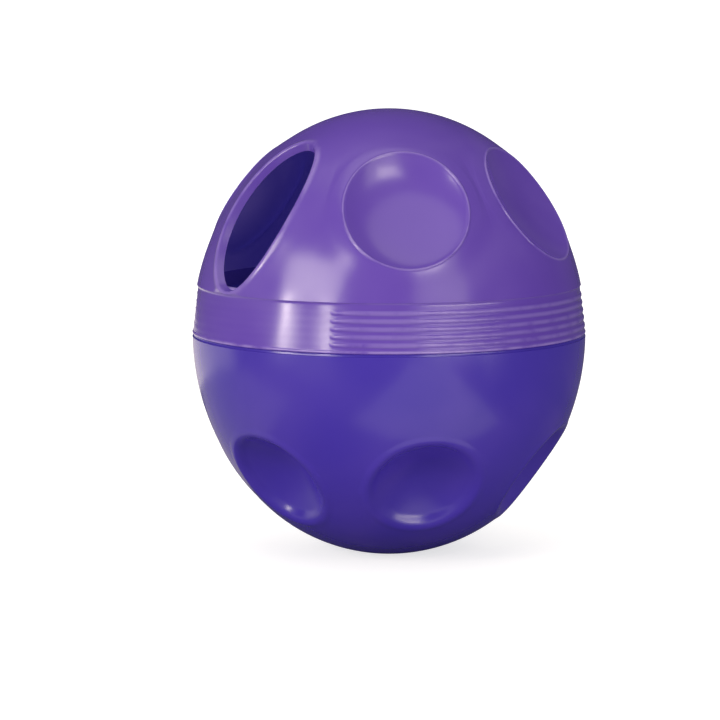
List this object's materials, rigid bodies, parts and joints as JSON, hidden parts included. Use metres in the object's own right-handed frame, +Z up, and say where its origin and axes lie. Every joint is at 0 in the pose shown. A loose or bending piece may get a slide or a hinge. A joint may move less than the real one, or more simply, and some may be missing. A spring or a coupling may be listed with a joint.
{
  "type": "treat dispensing ball",
  "caption": "Upright oval treat dispensing ball in two plastic halves that twist apart for filling, with a treat slot, pressed-in dimples and a ribbed grip band.",
  "frame": {"origin": "centre of the small flat foot that the ball stands on", "axes": "+Z up through both halves, -Y out through the side that the treat slot is on, +X to the right of the slot"},
  "size_m": [0.0682, 0.0682, 0.077],
  "materials": {
    "upper_plastic": "smooth, glossy",
    "lower_plastic": "smooth, glossy"
  },
  "bodies": {
    "lower_half": {"lower_shell": "lower_plastic"},
    "upper_half": {"upper_shell": "upper_plastic"}
  },
  "joints": [
    {"name": "twist", "type": "hinge", "parent": "lower_half", "child": "upper_half", "pos_m": [0, 0, 0.0383], "axis": [0, 0, 1], "range_deg": [0, 84]}
  ]
}
